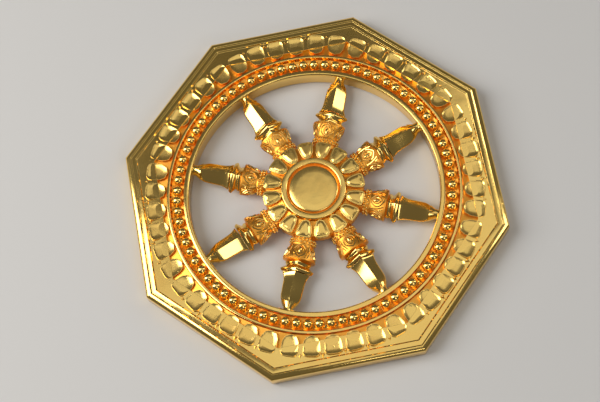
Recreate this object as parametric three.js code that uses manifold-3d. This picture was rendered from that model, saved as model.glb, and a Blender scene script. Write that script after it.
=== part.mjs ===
// A dharma wheel ornament, cast in one: an eight-sided rim with petals and beads, a hub and eight spokes.
// Millimetres, +Z up. The wheel lies on its plain back, its face up, with the origin under its centre.

import * as THREE from "three";
import { mergeVertices } from "three/addons/utils/BufferGeometryUtils.js";
import Module from "manifold-3d";

// Driving dimensions
const ACROSS_FLATS = 140;
const LIP_HEIGHT = 8; // from the back to the lip round the opening
const OPENING_RADIUS = 48.4;
const HUB_RADIUS = 19.8;
const SPOKE_COUNT = 8;
const RIM_PETAL_COUNT = 48;
const RIM_BEAD_COUNT = 77;
const HUB_PETAL_COUNT = 16;

// How finely the round forms are faceted
const RIM_SIDES = 48;
const HUB_SIDES = 32;
const BEAD_SIDES = 6;
const ARCH_STEPS = 2;

// The rim's eight-sided border, in steps measured from the middle of a side
const SIDES = 8;
const APOTHEM = ACROSS_FLATS / 2;
const CORNER_ANGLE = Math.PI / SIDES;
const BACK_BEVEL = 1;
const EDGE_ROUND = 0.7;
const FIELD_SLOPE = Math.tan(THREE.MathUtils.degToRad(12));
const FIELD_EDGE = APOTHEM - 4.5;
const FIELD_EDGE_HEIGHT = LIP_HEIGHT - 1.1;
const STEP_RISE = 0.6;
const STEP_RUN = 0.45;
const STEP_WIDTH = 2.1;
const STEP_SLOPE = 1.5 * FIELD_SLOPE;
const EDGE_HEIGHT = LIP_HEIGHT - 1.7;

// The round part of the rim: lip, bead channel, fillet and petal channel
const LIP_WIDTH = 2;
const BEAD_RING_RADIUS = OPENING_RADIUS + 4.5;
const BEAD_RADIUS = 1.95;
const BEAD_HEIGHT = LIP_HEIGHT - 0.5;
const BEAD_SHOULDER = [0.75, 0.6]; // shares of the bead's radius, across and up
const BEAD_CHANNEL_HALF = 2.4;
const BEAD_CHANNEL_HEIGHT = LIP_HEIGHT - 1.6;
const FILLET_START = BEAD_RING_RADIUS + BEAD_CHANNEL_HALF + 0.5;
const FILLET_WIDTH = 1.1;
const FILLET_TOP = LIP_HEIGHT + 0.1;
const FILLET_FLARE = 0.2;
const PETAL_FLOOR = LIP_HEIGHT - 1.1;
const PETAL_CHANNEL_RADIUS = APOTHEM - 5.8;
const CLEAR_ABOVE = 5; // a cut goes this far over the lip

// Rim petals
const RIM_PETAL_START = FILLET_START + FILLET_WIDTH + FILLET_FLARE;
const RIM_PETAL_END = APOTHEM - 5.3; // opposite the middle of a side
const RIM_PETAL_CORNER_REACH = 1.3; // further out at the corners
const RIM_PETAL_GAP = 1.1;
const RIM_PETAL_ARCH = 2.6;
const RIM_PETAL_TOP = LIP_HEIGHT + 0.3;
const RIM_PETAL_DISH = 0.6;

// Hub
const HUB_SIDE = [[5.3, 0], [2, 1.2], [0.5, 3.4], [0.5, 5.8], [1.2, 7.6]]; // [inside the radius, height]
const RING_RADIUS = 12.5;
const RING_WIDTH = 2.2;
const RING_FOOT = LIP_HEIGHT + 0.4;
const RING_TOP = LIP_HEIGHT + 2;
const RING_DRAFT = 0.2;
const DISC_RADIUS = 9.9;
const DISC_GROOVE = LIP_HEIGHT + 0.8;
const DISC_TOP = LIP_HEIGHT + 1.7;
const DISC_ROUND = [0.6, 0.4]; // in from its radius, down from its top
const HUB_PETAL_GAP = 0.8;
const HUB_PETAL_ARCH = 2.2;
const HUB_PETAL_EDGE = LIP_HEIGHT + 0.5;
const HUB_PETAL_CROWN = LIP_HEIGHT + 1.3;
const HUB_PETAL_SHOULDER = [0.75, HUB_PETAL_CROWN - 0.2]; // [share of the outline, height]
const HUB_PETAL_FOOT = LIP_HEIGHT - 1.2;
const HUB_PETAL_RISE = 0.5; // the inner end stands higher than the outer one

// Spokes
const SPOKE_MIDDLE = 4.5;
const SPOKE_START = 15;
const SPOKE_LEANS = [0, 0, 1.4, -0.6, 0, 0, 0, 0]; // degrees off true

// The pointed petal on each spoke's calyx, with heights over the spoke's middle
const CALYX_PETAL_START = 22.3;
const CALYX_PETAL_LENGTH = 5.4;
const CALYX_PETAL_HALF = 2.1;
const CALYX_PETAL_FOOT = 2.4;
const CALYX_PETAL_EDGE = 3.95;
const CALYX_PETAL_CROWN = 4.3;
const CALYX_PETAL_RISE = 0.2; // for each millimetre outward
const CALYX_PETAL_FALL = 0.12; // for each square millimetre to the side

// Added parts are pressed this far into what carries them.
const EMBED = 0.5;
const MERGE_DISTANCE = 1e-4;

const wasm = await Module();
wasm.setup();

// A closed geometry as a solid that can be joined and cut.
function solidOf(geometry) {
  const bare = geometry.clone();
  bare.deleteAttribute("normal");
  bare.deleteAttribute("uv");
  const merged = mergeVertices(bare, MERGE_DISTANCE);
  return new wasm.Manifold(
    new wasm.Mesh({
      numProp: 3,
      vertProperties: merged.attributes.position.array,
      triVerts: new Uint32Array(merged.index.array),
    }),
  );
}

// All the given solids joined.
function joined(solids) {
  return solids.reduce((whole, solid) => whole.add(solid));
}

// A profile of [radius, height] pairs turned round Z, listed up its outside, open only at the axis.
function turned(profile, sides, start = 0) {
  const points = profile.map(([radius, height]) => new THREE.Vector2(radius, height));
  return new THREE.LatheGeometry(points, sides, start).rotateX(Math.PI / 2);
}

// A turned form with its vertices moved: place(side, row, vertex) gives the new position of each one.
function pressed(rows, sides, place) {
  const geometry = turned(rows.map((_, row) => [1, row]), sides);
  const position = geometry.attributes.position;
  for (let i = 0; i < position.count; i += 1) {
    const side = Math.floor(i / rows.length) % sides;
    const point = place(side, rows[i % rows.length]);
    position.setXYZ(i, point.x, point.y, point.z);
  }
  return geometry;
}

// A low pad on an outline of Vector2 points. Each row is [share of the outline, height, lifted].
function pad(outline, rows, lift = () => 0) {
  const middle = outline
    .reduce((sum, point) => sum.add(point), new THREE.Vector2())
    .divideScalar(outline.length);
  return pressed(rows, outline.length, (side, [share, height, lifted]) => {
    const point = middle.clone().lerp(outline[side], share);
    return new THREE.Vector3(point.x, point.y, height + (lifted ? lift(point) : 0));
  });
}

// A petal's outline, base at y = 0 and arched end at y = length, counterclockwise.
function petalOutline(baseHalf, endHalf, length, arch) {
  const shoulder = length - arch;
  const shape = new THREE.Shape();
  shape.moveTo(-baseHalf, 0);
  shape.lineTo(baseHalf, 0);
  shape.lineTo(endHalf, shoulder);
  shape.bezierCurveTo(endHalf, shoulder + 0.7 * arch, 0.6 * endHalf, length, 0, length);
  shape.bezierCurveTo(-0.6 * endHalf, length, -endHalf, shoulder + 0.7 * arch, -endHalf, shoulder);
  shape.closePath();
  const points = shape.getPoints(ARCH_STEPS);
  return points[0].equals(points[points.length - 1]) ? points.slice(0, -1) : points;
}

// A geometry drawn from the origin along +Y, set at a radius and turned to an angle.
function setAt(geometry, radius, angle) {
  return geometry.translate(0, radius, 0).rotateZ(angle - Math.PI / 2);
}

// The eight-sided border, sloping outward in two steps, over a flat back.
function border() {
  const inner = BEAD_RING_RADIUS;
  const firstStep = FIELD_EDGE + STEP_RUN;
  const secondStep = firstStep + STEP_WIDTH;
  const stepTop = FIELD_EDGE_HEIGHT + STEP_RISE;
  const stepFoot = stepTop - (STEP_WIDTH - STEP_RUN) * STEP_SLOPE;
  const fieldInner = PETAL_CHANNEL_RADIUS * Math.cos(CORNER_ANGLE) - EMBED;
  const fieldInnerHeight = FIELD_EDGE_HEIGHT + (FIELD_EDGE - fieldInner) * FIELD_SLOPE;
  const profile = [
    [inner, 0],
    [APOTHEM - BACK_BEVEL, 0],
    [APOTHEM, BACK_BEVEL],
    [APOTHEM, EDGE_HEIGHT],
    [APOTHEM - EDGE_ROUND, EDGE_HEIGHT + EDGE_ROUND],
    [secondStep, stepTop],
    [secondStep - STEP_RUN, stepFoot],
    [firstStep, stepTop],
    [FIELD_EDGE, FIELD_EDGE_HEIGHT],
    [fieldInner, fieldInnerHeight],
    [fieldInner, PETAL_FLOOR - EMBED],
    [inner, PETAL_FLOOR - EMBED],
    [inner, 0],
  ];
  const toCorner = ([apothem, height]) => [apothem / Math.cos(CORNER_ANGLE), height];
  return turned(profile.map(toCorner), SIDES, CORNER_ANGLE);
}

// The round channel that the petals stand in, to be cut out of the border.
function petalChannel() {
  const above = LIP_HEIGHT + CLEAR_ABOVE;
  const section = [
    [0, PETAL_FLOOR],
    [PETAL_CHANNEL_RADIUS, PETAL_FLOOR],
    [PETAL_CHANNEL_RADIUS, above],
    [0, above],
  ];
  return turned(section, RIM_SIDES);
}

// The round rim inside the border: opening, lip, bead channel, fillet and the floor under the petals.
function ring() {
  const channelIn = BEAD_RING_RADIUS - BEAD_CHANNEL_HALF;
  const channelOut = BEAD_RING_RADIUS + BEAD_CHANNEL_HALF;
  const filletOut = FILLET_START + FILLET_WIDTH;
  return turned(
    [
      [OPENING_RADIUS + BACK_BEVEL, 0],
      [PETAL_CHANNEL_RADIUS, 0],
      [PETAL_CHANNEL_RADIUS, PETAL_FLOOR],
      [filletOut + FILLET_FLARE, PETAL_FLOOR],
      [filletOut, FILLET_TOP],
      [FILLET_START, FILLET_TOP],
      [channelOut, BEAD_CHANNEL_HEIGHT],
      [channelIn, BEAD_CHANNEL_HEIGHT],
      [OPENING_RADIUS + LIP_WIDTH, LIP_HEIGHT],
      [OPENING_RADIUS, LIP_HEIGHT],
      [OPENING_RADIUS, BACK_BEVEL],
      [OPENING_RADIUS + BACK_BEVEL, 0],
    ],
    RIM_SIDES,
  );
}

function rimBeads() {
  const dome = [
    [0, BEAD_CHANNEL_HEIGHT - EMBED],
    [BEAD_RADIUS, BEAD_CHANNEL_HEIGHT - EMBED],
    [BEAD_SHOULDER[0] * BEAD_RADIUS, BEAD_HEIGHT + BEAD_SHOULDER[1] * BEAD_RADIUS],
    [0, BEAD_HEIGHT + BEAD_RADIUS],
  ];
  return Array.from({ length: RIM_BEAD_COUNT }, (_, i) =>
    setAt(turned(dome, BEAD_SIDES), BEAD_RING_RADIUS, (2 * Math.PI * i) / RIM_BEAD_COUNT),
  );
}

// How near an angle is to a corner of the border: 0 at the middle of a side, 1 at a corner.
function nearCorner(angle) {
  return Math.abs(Math.sin((SIDES / 2) * angle));
}

// Arched petals with dished faces, longer towards the corners.
function rimPetals() {
  const pitch = (2 * Math.PI) / RIM_PETAL_COUNT;
  const halfWidth = (radius) => radius * Math.tan(pitch / 2) - RIM_PETAL_GAP / 2;
  return Array.from({ length: RIM_PETAL_COUNT }, (_, i) => {
    const angle = (i + 0.5) * pitch;
    const end = RIM_PETAL_END + RIM_PETAL_CORNER_REACH * nearCorner(angle);
    const outline = petalOutline(
      halfWidth(RIM_PETAL_START),
      halfWidth(end - RIM_PETAL_ARCH),
      end - RIM_PETAL_START,
      RIM_PETAL_ARCH,
    );
    const rows = [
      [0, PETAL_FLOOR - EMBED],
      [1, PETAL_FLOOR - EMBED],
      [1, RIM_PETAL_TOP],
      [0, RIM_PETAL_TOP - RIM_PETAL_DISH],
    ];
    return setAt(pad(outline, rows), RIM_PETAL_START, angle);
  });
}

// The hub's turned core: a plain flat back, a bulging side, a flat ring and a low disc inside it.
function hubCore() {
  const ringIn = RING_RADIUS - RING_WIDTH;
  return turned(
    [
      [0, 0],
      ...HUB_SIDE.map(([inside, height]) => [HUB_RADIUS - inside, height]),
      [RING_RADIUS, RING_FOOT],
      [RING_RADIUS - RING_DRAFT, RING_TOP],
      [ringIn, RING_TOP],
      [DISC_RADIUS, DISC_GROOVE],
      [DISC_RADIUS - DISC_ROUND[0], DISC_TOP - DISC_ROUND[1]],
      [0, DISC_TOP],
    ],
    HUB_SIDES,
  );
}

// Crowned petals round the hub, one over each spoke and one between each two.
function hubPetals() {
  const pitch = (2 * Math.PI) / HUB_PETAL_COUNT;
  const start = RING_RADIUS - EMBED;
  const halfWidth = (radius) => radius * Math.tan(pitch / 2) - HUB_PETAL_GAP / 2;
  const outline = petalOutline(
    halfWidth(start),
    halfWidth(HUB_RADIUS - HUB_PETAL_ARCH),
    HUB_RADIUS - start,
    HUB_PETAL_ARCH,
  );
  const rows = [
    [0, HUB_PETAL_FOOT, false],
    [1, HUB_PETAL_FOOT, false],
    [1, HUB_PETAL_EDGE, true],
    [...HUB_PETAL_SHOULDER, true],
    [0, HUB_PETAL_CROWN, true],
  ];
  const lift = (point) => HUB_PETAL_RISE * (1 - point.y / (HUB_RADIUS - start));
  const angles = Array.from({ length: HUB_PETAL_COUNT }, (_, i) => i * pitch);
  return angles.map((angle) => setAt(pad(outline, rows, lift), start, angle));
}

// One spoke as stations from the hub outward: [distance, half width, height over the middle, roundness].
// Roundness 1 is the turned part next to the hub, and 0 the four-sided part with a ridge along its top.
const COLLAR = [
  [SPOKE_START, 4.4, 3.3, 1],
  [19.6, 4.7, 3.7, 1],
  [20.2, 5.2, 4.15, 1],
  [20.75, 4.8, 3.75, 1],
  [21.3, 5.25, 4.2, 1],
  [21.9, 4.6, 3.7, 1],
];
const CALYX = [
  [24.6, 5.3, 4.2, 1],
  [27.2, 6.15, 4.7, 0.8],
  [28.3, 6.2, 4.7, 0.4],
  [28.6, 4.7, 3.8, 0.2],
];
const WAIST = [
  [29.9, 4.9, 3.9, 0],
  [30.4, 4.6, 3.7, 0],
];
const BLADE = [
  [31.9, 6.45, 4.5, 0],
  [33.8, 5.4, 4.1, 0],
  [36, 4.65, 4, 0],
  [42.2, 4.4, 4, 0],
  [44.3, 3.8, 3.8, 0],
  [45.7, 2.7, 3.5, 0],
  [46.8, 1.3, 3.1, 0],
];
const ROOT = [[OPENING_RADIUS + 1.2, 2.2, 2.9, 0]];

// The section's six points, as shares of the half width and the height, four-sided and round.
const RIDGED = [[0, 1], [0.88, 0.42], [1, 0.08], [0, -0.9], [-1, 0.08], [-0.88, 0.42]];
const ROUND = [[0, 1], [0.76, 0.66], [1, 0], [0, -0.95], [-1, 0], [-0.76, 0.66]];

function spoke() {
  const stations = [...COLLAR, ...CALYX, ...WAIST, ...BLADE, ...ROOT];
  const first = stations[0];
  const last = stations[stations.length - 1];
  const closed = [[first[0], 0, 0, 0], ...stations, [last[0], 0, 0, 0]];
  return pressed(closed, RIDGED.length, (side, [distance, half, height, roundness]) => {
    const across = THREE.MathUtils.lerp(RIDGED[side][0], ROUND[side][0], roundness);
    const up = THREE.MathUtils.lerp(RIDGED[side][1], ROUND[side][1], roundness);
    return new THREE.Vector3(half * across, distance, SPOKE_MIDDLE + height * up);
  });
}

// The pointed petal that stands up on the calyx, over the curve of its back.
function calyxPetal() {
  const half = CALYX_PETAL_HALF;
  const outline = new THREE.Shape()
    .moveTo(-0.6 * half, 0)
    .lineTo(0.6 * half, 0)
    .quadraticCurveTo(1.5 * half, 0.45 * CALYX_PETAL_LENGTH, 0, CALYX_PETAL_LENGTH)
    .quadraticCurveTo(-1.5 * half, 0.45 * CALYX_PETAL_LENGTH, -0.6 * half, 0)
    .getPoints(ARCH_STEPS)
    .slice(0, -1);
  const rows = [
    [0, SPOKE_MIDDLE + CALYX_PETAL_FOOT, false],
    [1, SPOKE_MIDDLE + CALYX_PETAL_FOOT, false],
    [1, SPOKE_MIDDLE + CALYX_PETAL_EDGE, true],
    [0, SPOKE_MIDDLE + CALYX_PETAL_CROWN, true],
  ];
  const back = (point) => CALYX_PETAL_RISE * point.y - CALYX_PETAL_FALL * point.x * point.x;
  return pad(outline, rows, back).translate(0, CALYX_PETAL_START, 0);
}

function spokes() {
  return Array.from({ length: SPOKE_COUNT }, (_, i) => {
    const lean = THREE.MathUtils.degToRad(SPOKE_LEANS[i]);
    const angle = CORNER_ANGLE + (2 * Math.PI * i) / SPOKE_COUNT + lean;
    return [setAt(spoke(), 0, angle), setAt(calyxPetal(), 0, angle)];
  }).flat();
}

function wheel() {
  const borderSolid = solidOf(border()).subtract(solidOf(petalChannel()));
  const round = [ring(), ...rimBeads(), ...rimPetals(), hubCore(), ...hubPetals(), ...spokes()];
  const cast = joined([borderSolid, ...round.map(solidOf)]).getMesh();
  const geometry = new THREE.BufferGeometry();
  geometry.setAttribute("position", new THREE.BufferAttribute(cast.vertProperties, cast.numProp));
  geometry.setIndex(new THREE.BufferAttribute(cast.triVerts, 1));
  geometry.computeVertexNormals();
  const gilt = new THREE.MeshStandardMaterial({ color: 0xd8a23c, roughness: 0.22, metalness: 1 });
  const mesh = new THREE.Mesh(geometry, gilt);
  mesh.name = "dharma_wheel";
  return mesh;
}

const ornament = new THREE.Group();
ornament.add(wheel());

export default ornament;
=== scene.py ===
"""A gilt dharma wheel ornament: one casting with a stepped eight-sided rim, petals, beads, a hub and spokes."""

import math
import random

import bmesh
import bpy
from mathutils import Euler, Matrix, Vector


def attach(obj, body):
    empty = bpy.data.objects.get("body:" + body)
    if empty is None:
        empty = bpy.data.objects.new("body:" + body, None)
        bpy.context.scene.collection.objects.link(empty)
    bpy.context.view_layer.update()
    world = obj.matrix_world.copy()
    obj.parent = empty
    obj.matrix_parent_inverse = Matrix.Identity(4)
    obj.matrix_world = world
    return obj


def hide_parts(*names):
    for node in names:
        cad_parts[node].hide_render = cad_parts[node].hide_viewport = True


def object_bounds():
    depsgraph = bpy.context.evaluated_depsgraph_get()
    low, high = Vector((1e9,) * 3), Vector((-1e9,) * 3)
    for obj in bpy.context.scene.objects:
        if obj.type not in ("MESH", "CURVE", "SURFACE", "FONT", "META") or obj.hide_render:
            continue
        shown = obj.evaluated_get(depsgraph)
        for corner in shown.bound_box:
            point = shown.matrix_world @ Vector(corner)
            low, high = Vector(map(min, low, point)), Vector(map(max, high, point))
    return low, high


bl_info = {
    "name": "Dharma Wheel Ornament",
    "version": (1, 0, 0),
    "blender": (4, 5, 0),
    "location": "View3D > Sidebar > Dharma Wheel",
    "description": "Models and gilds an eight-sided dharma wheel with petals, beads and spokes",
    "category": "Add Mesh",
}

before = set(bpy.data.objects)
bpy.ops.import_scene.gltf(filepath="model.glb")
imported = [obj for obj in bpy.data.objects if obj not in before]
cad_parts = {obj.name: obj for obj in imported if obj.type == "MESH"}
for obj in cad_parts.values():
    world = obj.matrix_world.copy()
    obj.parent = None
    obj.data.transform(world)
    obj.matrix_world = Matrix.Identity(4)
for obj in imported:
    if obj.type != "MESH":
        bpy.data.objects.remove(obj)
CAD_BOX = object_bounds()

MM = 0.001
SIDES = 8
SIDE_ANGLE = 2 * math.pi / SIDES
CORNER = 1 / math.cos(SIDE_ANGLE / 2)
ROUND = 144  # sides of the turned forms
MERGE = 1e-6


# Sizes, finish and studio

class WheelSizes(bpy.types.PropertyGroup):
    apothem: bpy.props.FloatProperty(
        name="Rim apothem", description="From the centre to the middle of a side",
        default=(CAD_BOX[1][0] - CAD_BOX[0][0]) / 2, unit="LENGTH",
    )
    lip_height: bpy.props.FloatProperty(
        name="Lip height", description="From the back to the lip round the opening",
        default=8 * MM, unit="LENGTH",
    )
    opening_radius: bpy.props.FloatProperty(
        name="Opening radius", description="Radius of the round opening in the rim",
        default=48.4 * MM, unit="LENGTH",
    )
    hub_radius: bpy.props.FloatProperty(
        name="Hub radius", description="From the centre to the ends of the hub's petals",
        default=19.8 * MM, unit="LENGTH",
    )
    rim_petals: bpy.props.IntProperty(name="Rim petals", description="Petals round the rim", default=48)
    rim_beads: bpy.props.IntProperty(name="Rim beads", description="Beads round the opening", default=77)
    hub_petals: bpy.props.IntProperty(name="Hub petals", description="Petals round the hub", default=16)


class WheelFinish(bpy.types.PropertyGroup):
    gold: bpy.props.FloatVectorProperty(
        name="Gold", description="Colour of the bright gilding",
        default=(1.0, 0.68, 0.19), subtype="COLOR", min=0, max=1,
    )
    # A darker orange painted into the recesses and over the calyx body: painted shade, standing in for the shade
    # and warm interreflections there.
    painted_shade_gold: bpy.props.FloatVectorProperty(
        name="Deep gold", description="Colour of the gilding in the recesses",
        default=(0.93, 0.42, 0.06), subtype="COLOR", min=0, max=1,
    )
    polish: bpy.props.FloatProperty(
        name="Polish", description="Roughness of the polished faces", default=0.11, subtype="FACTOR",
    )


class WheelStudio(bpy.types.PropertyGroup):
    floor: bpy.props.FloatVectorProperty(
        name="Floor", description="Colour of the plain floor",
        default=(0.62, 0.60, 0.57), subtype="COLOR", min=0, max=1,
    )
    lens: bpy.props.FloatProperty(
        name="Lens", description="Focal length on a 36 mm wide sensor", default=87.54, subtype="DISTANCE_CAMERA",
    )
    world: bpy.props.FloatProperty(name="Room light", description="Strength of the dim room", default=0.12)


# Modelling helpers. Heights and radii in the lists below are millimetres, and mesh coordinates are metres.

def deselect():
    """Leaves edit mode and selects nothing."""
    if bpy.context.object and bpy.context.object.mode != "OBJECT":
        bpy.ops.object.mode_set(mode="OBJECT")
    bpy.ops.object.select_all(action="DESELECT")


def edit(kind="VERT"):
    """Enters edit mode on the active object with everything selected."""
    bpy.ops.object.mode_set(mode="EDIT")
    bpy.ops.mesh.select_mode(type=kind)
    bpy.ops.mesh.select_all(action="SELECT")


def choose(kind, test):
    """Selects only the vertices, edges or faces whose middle, in millimetres, passes the test."""
    bpy.ops.mesh.select_mode(type=kind)
    bpy.ops.mesh.select_all(action="DESELECT")
    mesh = bmesh.from_edit_mesh(bpy.context.object.data)
    place = bpy.context.object.matrix_world
    parts = {"VERT": mesh.verts, "EDGE": mesh.edges, "FACE": mesh.faces}[kind]
    for part in parts:
        corners = [part] if kind == "VERT" else part.verts
        middle = sum((place @ corner.co for corner in corners), Vector()) / len(corners) / MM
        normal = part.normal if kind == "FACE" else None
        if test(middle, normal) if kind == "FACE" else test(middle):
            part.select_set(True)
    mesh.select_flush_mode()
    bmesh.update_edit_mesh(bpy.context.object.data)


def finish_mesh(name):
    """Merges doubles, turns the faces outward, leaves edit mode and names the piece."""
    bpy.ops.mesh.select_mode(type="VERT")
    bpy.ops.mesh.select_all(action="SELECT")
    bpy.ops.mesh.remove_doubles(threshold=MERGE)
    bpy.ops.mesh.normals_make_consistent(inside=False)
    bpy.ops.object.mode_set(mode="OBJECT")
    bpy.ops.object.transform_apply(location=True, rotation=True, scale=True)
    piece = bpy.context.object
    piece.name = name
    return piece


def lathe(name, profile, sides, turn=0.0, capped=False):
    """Draws a circle up through the (radius, height) points by extruding and resizing it."""
    radius, height = profile[0]
    deselect()
    bpy.ops.mesh.primitive_circle_add(
        vertices=sides, radius=radius * MM, location=(0, 0, height * MM), rotation=(0, 0, turn),
        fill_type="NGON" if capped else "NOTHING",
    )
    edit("EDGE")
    for new_radius, new_height in profile[1:]:
        bpy.ops.mesh.extrude_edges_move(
            TRANSFORM_OT_translate={"value": (0, 0, (new_height - height) * MM)},
        )
        ratio = new_radius / radius
        bpy.ops.transform.resize(value=(ratio, ratio, 1), center_override=(0, 0, 0))
        radius, height = new_radius, new_height
    if capped:
        bpy.ops.mesh.edge_face_add()
    return finish_mesh(name)


def soften(piece, width, segments=2, angle=28):
    """Rounds the sharp edges by a small bevel."""
    deselect()
    piece.select_set(True)
    bpy.context.view_layer.objects.active = piece
    bevel = piece.modifiers.new("Rounded edges", "BEVEL")
    bevel.width = width * MM
    bevel.segments = segments
    bevel.limit_method = "ANGLE"
    bevel.angle_limit = math.radians(angle)
    bevel.use_clamp_overlap = True
    bpy.ops.object.modifier_apply(modifier=bevel.name)
    return piece


def subdivide_smooth(piece, levels=1):
    """Smooths the piece with a subdivision surface."""
    deselect()
    piece.select_set(True)
    bpy.context.view_layer.objects.active = piece
    smooth = piece.modifiers.new("Smooth", "SUBSURF")
    smooth.levels = levels
    smooth.render_levels = levels
    bpy.ops.object.modifier_apply(modifier=smooth.name)
    return piece


def copy_at(piece, matrix):
    """A copy of the piece with its own mesh, moved by the matrix."""
    copy = piece.copy()
    copy.data = piece.data.copy()
    copy.data.transform(matrix)
    bpy.context.collection.objects.link(copy)
    return copy


def turned(angle):
    return Matrix.Rotation(angle, 4, "Z")


def join(name, pieces):
    """Joins the pieces into one named piece."""
    deselect()
    for piece in pieces:
        piece.select_set(True)
    bpy.context.view_layer.objects.active = pieces[0]
    bpy.ops.object.join()
    joined = bpy.context.object
    joined.name = name
    return joined


def remove(piece):
    """Deletes a model that only served to be copied."""
    deselect()
    piece.select_set(True)
    bpy.ops.object.delete()


def wear_finish(piece, *names):
    """Gives the piece these finishes as its material slots, in order."""
    piece.data.materials.clear()
    for name in names:
        piece.data.materials.append(bpy.data.materials[name])


def dress(piece, angle=32):
    """Smooths the shading except over sharp edges, and hands the piece to the frame."""
    deselect()
    piece.select_set(True)
    bpy.context.view_layer.objects.active = piece
    bpy.ops.object.shade_smooth_by_angle(angle=math.radians(angle))
    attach(piece, "root")
    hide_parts("dharma_wheel")


# Finishes

def hammered_group():
    """Height of a hand-finished cast surface: broad waves, fine ripple and scattered pits."""
    group = bpy.data.node_groups.new("Hand finished casting", "ShaderNodeTree")
    sockets = [
        ("Wave size", 90.0), ("Wave height", 1.0), ("Ripple height", 0.2), ("Pit height", 0.5),
    ]
    for name, value in sockets:
        group.interface.new_socket(name, in_out="INPUT", socket_type="NodeSocketFloat").default_value = value
    group.interface.new_socket("Height", in_out="OUTPUT", socket_type="NodeSocketFloat")
    group.interface.new_socket("Tarnish", in_out="OUTPUT", socket_type="NodeSocketFloat")
    nodes, links = group.nodes, group.links
    given = nodes.new("NodeGroupInput")
    put_out = nodes.new("NodeGroupOutput")
    place = nodes.new("ShaderNodeTexCoord")

    def noise(scale, detail, roughness):
        node = nodes.new("ShaderNodeTexNoise")
        node.inputs["Scale"].default_value = scale
        node.inputs["Detail"].default_value = detail
        node.inputs["Roughness"].default_value = roughness
        links.new(place.outputs["Object"], node.inputs["Vector"])
        return node

    def times(a, b):
        node = nodes.new("ShaderNodeMath")
        node.operation = "MULTIPLY"
        links.new(a, node.inputs[0])
        links.new(b, node.inputs[1])
        return node.outputs[0]

    def plus(a, b):
        node = nodes.new("ShaderNodeMath")
        node.operation = "ADD"
        links.new(a, node.inputs[0])
        links.new(b, node.inputs[1])
        return node.outputs[0]

    waves = noise(1, 1, 0.5)
    links.new(given.outputs["Wave size"], waves.inputs["Scale"])
    ripple = noise(700, 3, 0.55)
    spots = nodes.new("ShaderNodeTexVoronoi")
    spots.inputs["Scale"].default_value = 420
    links.new(place.outputs["Object"], spots.inputs["Vector"])
    pits = nodes.new("ShaderNodeMapRange")
    pits.inputs["From Min"].default_value = 0.06
    pits.inputs["From Max"].default_value = 0.2
    pits.inputs["To Min"].default_value = -1
    pits.inputs["To Max"].default_value = 0
    links.new(spots.outputs["Distance"], pits.inputs["Value"])
    sparse = nodes.new("ShaderNodeMapRange")
    sparse.inputs["From Min"].default_value = 0.52
    sparse.inputs["From Max"].default_value = 0.66
    links.new(noise(160, 2, 0.5).outputs["Fac"], sparse.inputs["Value"])
    some_pits = times(pits.outputs[0], sparse.outputs[0])
    height = plus(
        plus(
            times(waves.outputs["Fac"], given.outputs["Wave height"]),
            times(ripple.outputs["Fac"], given.outputs["Ripple height"]),
        ),
        times(some_pits, given.outputs["Pit height"]),
    )
    tarnish = nodes.new("ShaderNodeMapRange")
    tarnish.inputs["From Min"].default_value = 0.4
    tarnish.inputs["From Max"].default_value = 0.75
    links.new(noise(60, 4, 0.6).outputs["Fac"], tarnish.inputs["Value"])
    links.new(height, put_out.inputs["Height"])
    links.new(tarnish.outputs[0], put_out.inputs["Tarnish"])
    return group


def gilt(name, group, colour, shade, roughness, spread, waves, ripple, pits):
    """A gilt finish: colour and roughness vary with the tarnish, and the surface is waved and pitted."""
    material = bpy.data.materials.new(name)
    material.use_nodes = True
    nodes, links = material.node_tree.nodes, material.node_tree.links
    shader = nodes["Principled BSDF"]
    shader.inputs["Metallic"].default_value = 1
    hammered = nodes.new("ShaderNodeGroup")
    hammered.node_tree = group
    hammered.inputs["Wave size"].default_value = waves[0]
    hammered.inputs["Wave height"].default_value = waves[1]
    hammered.inputs["Ripple height"].default_value = ripple
    hammered.inputs["Pit height"].default_value = pits
    blend = nodes.new("ShaderNodeMix")
    blend.data_type = "RGBA"
    blend.inputs["A"].default_value = (*colour, 1)
    blend.inputs["B"].default_value = (*shade, 1)
    links.new(hammered.outputs["Tarnish"], blend.inputs["Factor"])
    links.new(blend.outputs["Result"], shader.inputs["Base Color"])
    rough = nodes.new("ShaderNodeMapRange")
    rough.inputs["To Min"].default_value = roughness
    rough.inputs["To Max"].default_value = roughness + spread
    links.new(hammered.outputs["Tarnish"], rough.inputs["Value"])
    links.new(rough.outputs[0], shader.inputs["Roughness"])
    bump = nodes.new("ShaderNodeBump")
    bump.inputs["Distance"].default_value = 0.1 * MM
    bump.inputs["Strength"].default_value = 1
    links.new(hammered.outputs["Height"], bump.inputs["Height"])
    links.new(bump.outputs["Normal"], shader.inputs["Normal"])
    return material


class WHEEL_OT_finishes(bpy.types.Operator):
    """Makes the gilt finishes"""

    bl_idname = "wheel.finishes"
    bl_label = "Finishes"

    def execute(self, context):
        finish = context.scene.wheel_finish
        group = hammered_group()
        gold, painted_shade = tuple(finish.gold), tuple(finish.painted_shade_gold)
        shade = tuple(0.75 * g + 0.25 * d for g, d in zip(gold, painted_shade))
        polish = finish.polish
        gilt("polished_gilt", group, gold, shade, polish, 0.08, (90, 1.0), 0.04, 0.2)
        gilt("satin_gilt", group, gold, shade, polish + 0.1, 0.12, (160, 1.2), 0.12, 0.7)
        # The darker orange finish paints shade into recesses; it is not a colour of the metal.
        gilt("painted_shade_gilt", group, painted_shade, painted_shade, polish + 0.22, 0.15, (160, 1.0), 0.3, 0.5)
        return {"FINISHED"}


# Rim

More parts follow.
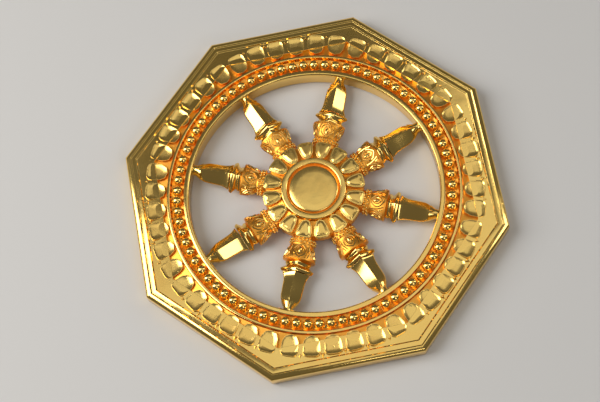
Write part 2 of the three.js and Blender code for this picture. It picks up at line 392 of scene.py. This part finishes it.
def rim_border(sizes):
    """The stepped eight-sided border. Its underside rises inward, so only the ring's back lies flat there."""
    apothem = sizes.apothem / MM
    lip = sizes.lip_height / MM
    hidden_rise = 0.3
    profile = [
        (52.9, hidden_rise),
        (apothem - 1, 0),
        (apothem, 1),
        (apothem, lip - 1.7),
        (apothem - 0.7, lip - 1.0),
        (apothem - 1.95, lip - 0.5),
        (apothem - 2.4, lip - 1.03),
        (apothem - 4.05, lip - 0.5),
        (apothem - 4.5, lip - 1.1),
        (58.8, lip - 1.1 + (apothem - 4.5 - 58.8) * 0.2126),
        (58.8, lip - 1.6),
        (52.9, lip - 1.6),
        (52.9, hidden_rise),
    ]
    corners = [(r * CORNER, z) for r, z in profile]
    border = lathe("rim_border", corners, SIDES, turn=SIDE_ANGLE / 2)
    return soften(border, 0.12)


def rim_ring(sizes):
    """The turned ring: opening, lip, bead channel, fillet and the floor under the petals."""
    opening = sizes.opening_radius / MM
    lip = sizes.lip_height / MM
    beads = opening + 4.5
    profile = [
        (opening + 1, 0),
        (64.2, 0),
        (64.2, lip - 1.1),
        (beads + 4.25, lip - 1.1),
        (beads + 4.0, lip + 0.1),
        (beads + 2.95, lip + 0.15),
        (beads + 2.5, lip - 1.4),
        (beads, lip - 1.9),
        (beads - 2.4, lip - 1.5),
        (opening + 2, lip),
        (opening + 0.35, lip + 0.05),
        (opening, lip - 0.35),
        (opening, lip - 3),
        (opening + 0.15, lip / 2),
        (opening, 1),
        (opening + 1, 0),
    ]
    ring = lathe("rim_ring", profile, ROUND)
    return soften(ring, 0.12)


def bead(radius, height, sides=16, rings=10):
    """The upper part of a ball, set with its middle at the origin and height."""
    deselect()
    bpy.ops.mesh.primitive_uv_sphere_add(
        segments=sides, ring_count=rings, radius=radius * MM, location=(0, 0, height * MM),
    )
    edit()
    bpy.ops.mesh.bisect(
        plane_co=(0, 0, (height - 0.6 * radius) * MM), plane_no=(0, 0, 1), clear_inner=True, use_fill=True,
    )
    return finish_mesh("bead")


def rim_beads(sizes):
    """The ring of beads in the channel round the opening."""
    radius = sizes.opening_radius / MM + 4.5
    model = bead(1.95, sizes.lip_height / MM - 0.5)
    pitch = 2 * math.pi / sizes.rim_beads
    dice = random.Random(3)
    copies = []
    for i in range(sizes.rim_beads):
        away = Matrix.Translation((dice.uniform(-0.12, 0.12) * MM + radius * MM, 0, 0))
        copies.append(copy_at(model, turned(i * pitch + dice.uniform(-0.02, 0.02) * pitch) @ away))
    remove(model)
    return join("rim_beads", copies)


def petal(base, end, length, foot, top, arch, insets):
    """A petal lying along +Y from the origin, with an arched end.

    Each inset is (width, depth) of the next step inward over its top.
    """
    deselect()
    bpy.ops.mesh.primitive_plane_add(size=MM, location=(0, length / 2 * MM, foot * MM))
    edit()
    bpy.ops.transform.resize(value=(end, length, 1), center_override=(0, length / 2 * MM, 0))
    choose("EDGE", lambda middle: middle.y < 0.01)
    bpy.ops.transform.resize(value=(base / end, 1, 1), center_override=(0, 0, 0))
    choose("VERT", lambda middle: middle.y > length - 0.01)
    bpy.ops.mesh.bevel(offset=arch * MM, segments=7, profile=0.56, affect="VERTICES", clamp_overlap=True)
    bpy.ops.mesh.select_all(action="SELECT")
    bpy.ops.mesh.extrude_region_move(TRANSFORM_OT_translate={"value": (0, 0, (top - foot) * MM)})
    bpy.ops.mesh.normals_make_consistent(inside=False)
    choose("FACE", lambda middle, normal: normal.z > 0.9)
    for width, depth in insets:
        bpy.ops.mesh.inset(thickness=width * MM, depth=depth * MM)
    bpy.ops.mesh.poke()
    return finish_mesh("petal")


def rim_petals(sizes):
    """The ring of dished petals, longer towards the corners of the border."""
    lip = sizes.lip_height / MM
    start = sizes.opening_radius / MM + 8.75
    pitch = 2 * math.pi / sizes.rim_petals
    gap = 1.05
    reach = sizes.apothem / MM - 5.3 - start
    base = 2 * start * math.tan(pitch / 2) - gap
    end = 2 * (start + reach) * math.tan(pitch / 2) - gap
    model = petal(
        base, end, reach, lip - 1.6, lip + 0.3, 2.5,
        [(0.22, 0), (0.2, -0.16), (0.45, -0.16), (0.6, -0.12), (0.6, -0.06)],
    )
    subdivide_smooth(model)
    dice = random.Random(5)
    copies = []
    for i in range(sizes.rim_petals):
        angle = (i + 0.5) * pitch
        longer = 1 + 1.3 / reach * abs(math.sin(SIDES / 2 * angle))
        own = Matrix.Diagonal((dice.uniform(0.97, 1.01), longer * dice.uniform(0.985, 1.01), 1, 1))
        tilt = Matrix.Rotation(math.radians(dice.uniform(-1.6, 1.6)), 4, "Z")
        place = turned(angle - math.pi / 2) @ Matrix.Translation((0, start * MM, 0)) @ tilt @ own
        copies.append(copy_at(model, place))
    remove(model)
    return join("rim_petals", copies)


def petal_tips(sizes):
    """The pointed tips of a second row, which show between the ends of the petals."""
    lip = sizes.lip_height / MM
    deselect()
    bpy.ops.mesh.primitive_cone_add(
        vertices=3, radius1=1.5 * MM, radius2=0.35 * MM, depth=1.3 * MM,
        location=(0, 0, (lip - 0.65) * MM), rotation=(0, 0, 0),
    )
    model = bpy.context.object
    bpy.ops.object.transform_apply(location=True, rotation=True, scale=True)
    soften(model, 0.3, 3)
    pitch = 2 * math.pi / sizes.rim_petals
    copies = []
    for i in range(sizes.rim_petals):
        angle = i * pitch
        radius = sizes.apothem / MM - 6.0 + 1.3 * abs(math.sin(SIDES / 2 * angle))
        place = turned(angle - math.pi / 2) @ Matrix.Translation((0, radius * MM, 0))
        copies.append(copy_at(model, place))
    remove(model)
    return join("petal_tips", copies)


class WHEEL_OT_rim(bpy.types.Operator):
    """Models the stepped border and the turned ring inside it"""

    bl_idname = "wheel.rim"
    bl_label = "Rim"

    def execute(self, context):
        sizes = context.scene.wheel_sizes
        border = rim_border(sizes)
        ring = rim_ring(sizes)
        wear_finish(border, "polished_gilt", "painted_shade_gilt")
        wear_finish(ring, "polished_gilt", "painted_shade_gilt")
        lip = sizes.lip_height / MM
        # Faces low in the bead channel and on the floor under the petals take the second slot, the darker
        # orange: painted shade in these recesses.
        for face in ring.data.polygons:
            middle = face.center / MM
            radius = math.hypot(middle.x, middle.y)
            low = lip - 0.35 > middle.z > lip - 2.2
            face.material_index = 1 if low and (50.4 < radius < 55.6 or radius > 56.6) else 0
        dress(join("rim", [border, ring]))
        return {"FINISHED"}


class WHEEL_OT_rim_beads(bpy.types.Operator):
    """Models one bead and sets it all round the opening"""

    bl_idname = "wheel.rim_beads"
    bl_label = "Rim beads"

    def execute(self, context):
        beads = rim_beads(context.scene.wheel_sizes)
        wear_finish(beads, "polished_gilt")
        dress(beads, 60)
        return {"FINISHED"}


class WHEEL_OT_rim_petals(bpy.types.Operator):
    """Models one petal and one tip of the row behind, and sets them all round the rim"""

    bl_idname = "wheel.rim_petals"
    bl_label = "Rim petals"

    def execute(self, context):
        sizes = context.scene.wheel_sizes
        petals = rim_petals(sizes)
        tips = petal_tips(sizes)
        wear_finish(petals, "satin_gilt")
        wear_finish(tips, "satin_gilt")
        dress(join("rim_petals", [petals, tips]), 50)
        return {"FINISHED"}


# Hub

def hub_core(sizes):
    """The hub's turned core: plain back, bulging side, flat ring, groove and low disc."""
    radius = sizes.hub_radius / MM
    lip = sizes.lip_height / MM
    profile = [
        (radius - 5.3, 0),
        (radius - 2, 1.2),
        (radius - 0.9, 2.3),
        (radius - 0.5, 3.5),
        (radius - 0.45, 4.7),
        (radius - 0.6, 5.9),
        (radius - 1.3, lip - 0.8),
        (12.7, lip - 0.2),
        (12.5, lip + 1.75),
        (12.2, lip + 2),
        (10.6, lip + 1.98),
        (10.3, lip + 1.8),
        (9.95, lip + 0.7),
        (9.7, lip + 0.75),
        (9.3, lip + 1.35),
        (8.6, lip + 1.6),
        (6.5, lip + 1.68),
        (3.5, lip + 1.7),
        (0.5, lip + 1.7),
    ]
    return soften(lathe("hub_core", profile, ROUND // 2, capped=True), 0.1)


def hub_petals(sizes):
    """The crowned petals round the hub."""
    radius = sizes.hub_radius / MM
    lip = sizes.lip_height / MM
    start = 12.2
    pitch = 2 * math.pi / sizes.hub_petals
    gap = 0.75
    base = 2 * start * math.tan(pitch / 2) - gap
    end = 2 * (radius - 0.6) * math.tan(pitch / 2) - gap
    # The inset widths together stay under half the base, or the steps would cross each other.
    model = petal(
        base, end, radius - start, lip - 1.6, lip + 0.55, 2.3,
        [(0.16, 0.12), (0.3, 0.05), (0.16, -0.1), (0.4, 0.26), (0.4, 0.2), (0.35, 0.08)],
    )
    subdivide_smooth(model)
    lean = Matrix.Identity(4)
    lean[2][1] = -0.075
    lean[2][3] = 0.56 * MM
    copies = []
    dice = random.Random(11)
    for i in range(sizes.hub_petals):
        own = Matrix.Rotation(math.radians(dice.uniform(-1.5, 1.5)), 4, "Z")
        place = turned(i * pitch - math.pi / 2) @ Matrix.Translation((0, start * MM, 0)) @ own @ lean
        copies.append(copy_at(model, place))
    remove(model)
    return join("hub_petals", copies)


class WHEEL_OT_hub(bpy.types.Operator):
    """Models the turned hub and its petals"""

    bl_idname = "wheel.hub"
    bl_label = "Hub"

    def execute(self, context):
        sizes = context.scene.wheel_sizes
        core = hub_core(sizes)
        petals = hub_petals(sizes)
        wear_finish(core, "satin_gilt", "painted_shade_gilt")
        wear_finish(petals, "satin_gilt")
        # The groove round the disc and the side under the petals take the second slot, the darker orange:
        # painted shade in these recesses.
        for face in core.data.polygons:
            middle = face.center / MM
            radius = math.hypot(middle.x, middle.y)
            face.material_index = 1 if 12.6 < radius or 9.4 < radius < 10.2 else 0
        dress(join("hub", [core, petals]), 40)
        return {"FINISHED"}


# Spokes. Each station is (distance from the hub's centre, half width, height over the spoke's middle).

SPOKE_MIDDLE = 4.5
UNDERSIDE = 0.93  # the underside's share of the height above, which keeps a spoke clear of the surface
COLLAR = [
    (15, 4.4, 3.3), (19.5, 4.5, 3.5), (19.75, 4.75, 3.75), (21.75, 4.75, 3.75), (22, 4.5, 3.6),
    (22.3, 4.45, 3.55),
]
CALYX = [
    (23.2, 4.75, 3.75), (24.6, 5.2, 4.05), (26, 5.75, 4.3), (27.2, 6.1, 4.5), (27.7, 6.15, 4.5),
    (27.8, 6.3, 4.65), (28.35, 6.3, 4.65), (28.5, 5.6, 4.2), (28.6, 4.7, 3.8),
]
WAIST = [
    (28.4, 4.5, 3.7), (28.7, 4.6, 3.8), (28.9, 5.0, 4.1), (29.5, 5.05, 4.15), (29.9, 4.85, 3.95),
    (30.2, 4.55, 3.75), (30.5, 4.6, 3.8), (31.0, 5.2, 4.1), (31.6, 6.2, 4.45), (31.9, 6.45, 4.55),
    (32.2, 6.4, 4.5), (33, 5.9, 4.3),
]
BLADE = [
    (33.3, 5.7, 4.2), (34, 5.35, 4.1), (35, 4.95, 4.03), (36, 4.68, 4.0), (38, 4.55, 4.0), (40, 4.48, 4.0),
    (42.2, 4.4, 4.0), (43.3, 4.2, 3.97), (44.3, 3.8, 3.9), (45.1, 3.3, 3.75), (45.8, 2.6, 3.6), (46.4, 1.8, 3.4),
    (46.8, 1.0, 3.25),
]


def stretched(name, stations, sides, turn=0.0):
    """Draws a ring out along +Y through the stations, by extruding and resizing it."""
    distance, half, height = stations[0]
    deselect()
    bpy.ops.mesh.primitive_circle_add(
        vertices=sides, radius=MM, location=(0, distance * MM, SPOKE_MIDDLE * MM),
        rotation=(math.pi / 2, turn, 0), fill_type="NGON",
    )
    edit("EDGE")
    middle = (0, 0, SPOKE_MIDDLE * MM)
    bpy.ops.transform.resize(value=(half, 1, height), center_override=middle)
    for new_distance, new_half, new_height in stations[1:]:
        bpy.ops.mesh.extrude_edges_move(
            TRANSFORM_OT_translate={"value": (0, (new_distance - distance) * MM, 0)},
        )
        bpy.ops.transform.resize(value=(new_half / half, 1, new_height / height), center_override=middle)
        distance, half, height = new_distance, new_half, new_height
    bpy.ops.mesh.edge_face_add()
    return finish_mesh(name)


def size_at(stations, distance):
    """Half width and height at a distance along the stations."""
    for (y0, w0, h0), (y1, w1, h1) in zip(stations, stations[1:]):
        if y0 <= distance <= y1:
            share = (distance - y0) / (y1 - y0)
            return w0 + share * (w1 - w0), h0 + share * (h1 - h0)
    return stations[-1][1:]


def on_calyx(angle, distance, lift=0.0):
    """A point on the calyx, at an angle from its top, in metres."""
    half, height = size_at(COLLAR + CALYX, distance)
    x = (half + lift) * math.sin(angle)
    z = (height + lift) * math.cos(angle)
    return Vector((x, distance, SPOKE_MIDDLE + z)) * MM


def stroke(points, width):
    """A raised line through (angle in degrees, distance) points on the calyx."""
    curve = bpy.data.curves.new("stroke", "CURVE")
    curve.dimensions = "3D"
    curve.bevel_depth = width / 2 * MM
    curve.bevel_resolution = 1
    curve.resolution_u = 5
    spline = curve.splines.new("NURBS")
    spline.points.add(len(points) - 1)
    for point, (angle, distance) in zip(spline.points, points):
        point.co = (*on_calyx(math.radians(angle), distance, 0.05), 1)
    spline.use_endpoint_u = True
    spline.order_u = 3
    line = bpy.data.objects.new("stroke", curve)
    bpy.context.collection.objects.link(line)
    deselect()
    line.select_set(True)
    bpy.context.view_layer.objects.active = line
    bpy.ops.object.convert(target="MESH")
    return bpy.context.object


def boss(angle, distance, half, length, rise):
    """A smooth drop-shaped boss on the calyx."""
    deselect()
    bpy.ops.mesh.primitive_uv_sphere_add(segments=12, ring_count=8, radius=MM)
    drop = bpy.context.object
    facing = Matrix.Rotation(math.radians(angle), 4, "Y")
    place = Matrix.Translation(on_calyx(math.radians(angle), distance, -0.1))
    drop.data.transform(place @ facing @ Matrix.Diagonal((half, length, rise, 1)))
    return drop


def calyx_relief():
    """Petals in relief on the calyx: three in front and the tips of others between them."""
    lines = []
    for middle in (-82, 0, 82):
        for side in (-1, 1):
            outer = [(6, 22.5), (17, 23.2), (27, 24.4), (24, 25.8), (11, 27), (0, 27.65)]
            inner = [(0, 23.0), (9, 23.5), (14, 24.4), (12, 25.4), (5, 26.2), (0, 26.6)]
            lines.append(stroke([(middle + side * a, d) for a, d in outer], 0.5))
            lines.append(stroke([(middle + side * a, d) for a, d in inner], 0.36))
        lines.append(boss(middle, 24.7, 0.62, 1.35, 0.42))
    for middle in (-41, 41):
        for side in (-1, 1):
            leaf = [(0, 22.6), (3, 24.2), (9, 25.8), (18, 27.5)]
            lines.append(stroke([(middle + side * a, d) for a, d in leaf], 0.45))
        arch = [(-9, 27.6), (-5, 26.6), (0, 25.9), (5, 26.6), (9, 27.6)]
        lines.append(stroke([(middle + a, d) for a, d in arch], 0.4))
    return lines


def collar_beads():
    """Two rows of small beads over the front of the collar."""
    deselect()
    bpy.ops.mesh.primitive_uv_sphere_add(segments=10, ring_count=6, radius=0.56 * MM)
    model = bpy.context.object
    copies = []
    for row, distance in enumerate((20.2, 21.3)):
        count = 11
        for i in range(count):
            angle = math.radians(-100 + 200 * (i + 0.5 * row) / (count - 0.5))
            half, height = size_at(COLLAR, distance)
            place = Vector((half * math.sin(angle), distance, SPOKE_MIDDLE + height * math.cos(angle))) * MM
            copies.append(copy_at(model, Matrix.Translation(place)))
    remove(model)
    return copies


def blade():
    """The four-sided blade: facets that meet in a ridge, framed by a narrow band."""
    piece = stretched("blade", BLADE, 4)
    edit("EDGE")
    choose(
        "EDGE",
        lambda middle: abs(middle.z - SPOKE_MIDDLE) < 0.05 and abs(middle.x) > 0.5 and middle.y < 46.7,
    )
    bpy.ops.mesh.bevel(offset=0.9 * MM, segments=3, profile=0.6, affect="EDGES")
    choose(
        "FACE",
        lambda middle, normal: middle.z > SPOKE_MIDDLE + 0.9 and normal.z > 0.3 and 33.3 < middle.y < 46.9,
    )
    bpy.ops.mesh.inset(thickness=0.5 * MM, depth=0)
    bpy.ops.transform.translate(value=(0, 0, -0.14 * MM))
    bpy.ops.object.mode_set(mode="OBJECT")
    return soften(piece, 0.06, 2, 20)


def spoke_model():
    """One spoke, lying along +Y from the hub's centre."""
    round_part = stretched("spoke", COLLAR + CALYX, 40)
    waist = soften(stretched("waist", WAIST, 4), 0.1, 2, 25)
    root = stretched("root", [(45, 3.4, 3.1), (47, 2.0, 2.7), (48.2, 1.9, 2.7), (49.6, 2.6, 3.0)], 16)
    plain = [round_part, waist, blade(), root]
    for piece in plain:
        wear_finish(piece, "polished_gilt")
    relief = calyx_relief() + collar_beads()
    for piece in relief:
        wear_finish(piece, "polished_gilt")
    # The collar and calyx body takes the darker orange finish: painted shade behind the relief lines and beads.
    round_part.data.materials.clear()
    round_part.data.materials.append(bpy.data.materials["painted_shade_gilt"])
    model = join("spoke_model", plain + relief)
    edit()
    choose("VERT", lambda middle: middle.z < SPOKE_MIDDLE)
    bpy.ops.transform.resize(value=(1, 1, UNDERSIDE), center_override=(0, 0, SPOKE_MIDDLE * MM))
    bpy.ops.object.mode_set(mode="OBJECT")
    return model


class WHEEL_OT_spokes(bpy.types.Operator):
    """Models one spoke and sets it at each corner of the rim"""

    bl_idname = "wheel.spokes"
    bl_label = "Spokes"

    def execute(self, context):
        model = spoke_model()
        leans = [0, 0, 1.4, -0.6, 0, 0, 0, 0]
        copies = []
        for i, lean in enumerate(leans):
            angle = SIDE_ANGLE * (i + 0.5) + math.radians(lean) - math.pi / 2
            copies.append(copy_at(model, turned(angle)))
        remove(model)
        dress(join("spokes", copies), 30)
        return {"FINISHED"}


# Stage

class WHEEL_OT_stage(bpy.types.Operator):
    """Sets the floor, the lights and the camera"""

    bl_idname = "wheel.stage"
    bl_label = "Stage"

    def execute(self, context):
        studio = context.scene.wheel_studio
        deselect()
        bpy.ops.mesh.primitive_plane_add(size=6, location=(0, 0, 0))
        floor = context.object
        floor.name = "floor"
        plain = bpy.data.materials.new("floor_paint")
        plain.use_nodes = True
        shader = plain.node_tree.nodes["Principled BSDF"]
        shader.inputs["Base Color"].default_value = (*studio.floor, 1)
        shader.inputs["Roughness"].default_value = 0.9
        floor.data.materials.append(plain)

        bpy.ops.object.camera_add(
            location=(-0.001236, -0.196185, 0.532717),
            rotation=Euler([math.radians(a) for a in (19.7391, 4.2735, -10.3155)]),
        )
        camera = context.object
        camera.name = "photo_camera"
        camera.data.lens = studio.lens
        camera.data.sensor_width = 36
        camera.data.sensor_fit = "HORIZONTAL"
        camera.data.clip_start = 0.01
        context.scene.camera = camera

        # Each light: name, tilt from overhead towards +X and +Y in degrees, distance, width, depth, radiance.
        lights = [
            ("key_left", -46, 8, 0.95, 0.55, 0.85, 5.5),
            ("overhead", 8, 2, 1.05, 0.86, 0.70, 0.62),
            ("right_strip", 58, 10, 1.0, 0.22, 0.7, 3.0),
            ("near_fill", 24, -46, 1.0, 0.34, 0.34, 3.0),
        ]
        for name, tilt_x, tilt_y, distance, width, depth, radiance in lights:
            direction = Vector((math.tan(math.radians(tilt_x)), math.tan(math.radians(tilt_y)), 1)).normalized()
            place = direction * distance
            turn = direction.to_track_quat("Z", "Y").to_euler()
            bpy.ops.object.light_add(type="AREA", location=place, rotation=turn)
            light = context.object
            light.name = name
            light.data.shape = "RECTANGLE"
            light.data.size = width
            light.data.size_y = depth
            light.data.energy = radiance * math.pi * width * depth
        world = bpy.data.worlds.new("dim_room")
        world.use_nodes = True
        world.node_tree.nodes["Background"].inputs["Color"].default_value = (1, 0.98, 0.95, 1)
        world.node_tree.nodes["Background"].inputs["Strength"].default_value = studio.world
        context.scene.world = world
        context.scene.view_settings.view_transform = "Standard"
        return {"FINISHED"}


class WHEEL_PT_panel(bpy.types.Panel):
    """Lists the steps of the wheel"""

    bl_idname = "WHEEL_PT_panel"
    bl_label = "Dharma Wheel"
    bl_space_type = "VIEW_3D"
    bl_region_type = "UI"
    bl_category = "Dharma Wheel"

    def draw(self, context):
        column = self.layout.column()
        for step in STEPS:
            column.operator(step.bl_idname)


STEPS = (
    WHEEL_OT_finishes, WHEEL_OT_rim, WHEEL_OT_rim_beads, WHEEL_OT_rim_petals,
    WHEEL_OT_hub, WHEEL_OT_spokes, WHEEL_OT_stage,
)
CLASSES = (WheelSizes, WheelFinish, WheelStudio, *STEPS, WHEEL_PT_panel)


def register():
    for cls in CLASSES:
        bpy.utils.register_class(cls)
    bpy.types.Scene.wheel_sizes = bpy.props.PointerProperty(type=WheelSizes)
    bpy.types.Scene.wheel_finish = bpy.props.PointerProperty(type=WheelFinish)
    bpy.types.Scene.wheel_studio = bpy.props.PointerProperty(type=WheelStudio)


def unregister():
    del bpy.types.Scene.wheel_studio
    del bpy.types.Scene.wheel_finish
    del bpy.types.Scene.wheel_sizes
    for cls in reversed(CLASSES):
        bpy.utils.unregister_class(cls)


def main():
    register()
    bpy.ops.wheel.finishes()
    bpy.ops.wheel.rim()
    bpy.ops.wheel.rim_beads()
    bpy.ops.wheel.rim_petals()
    bpy.ops.wheel.hub()
    bpy.ops.wheel.spokes()
    bpy.ops.wheel.stage()


if __name__ == "__main__":
    main()
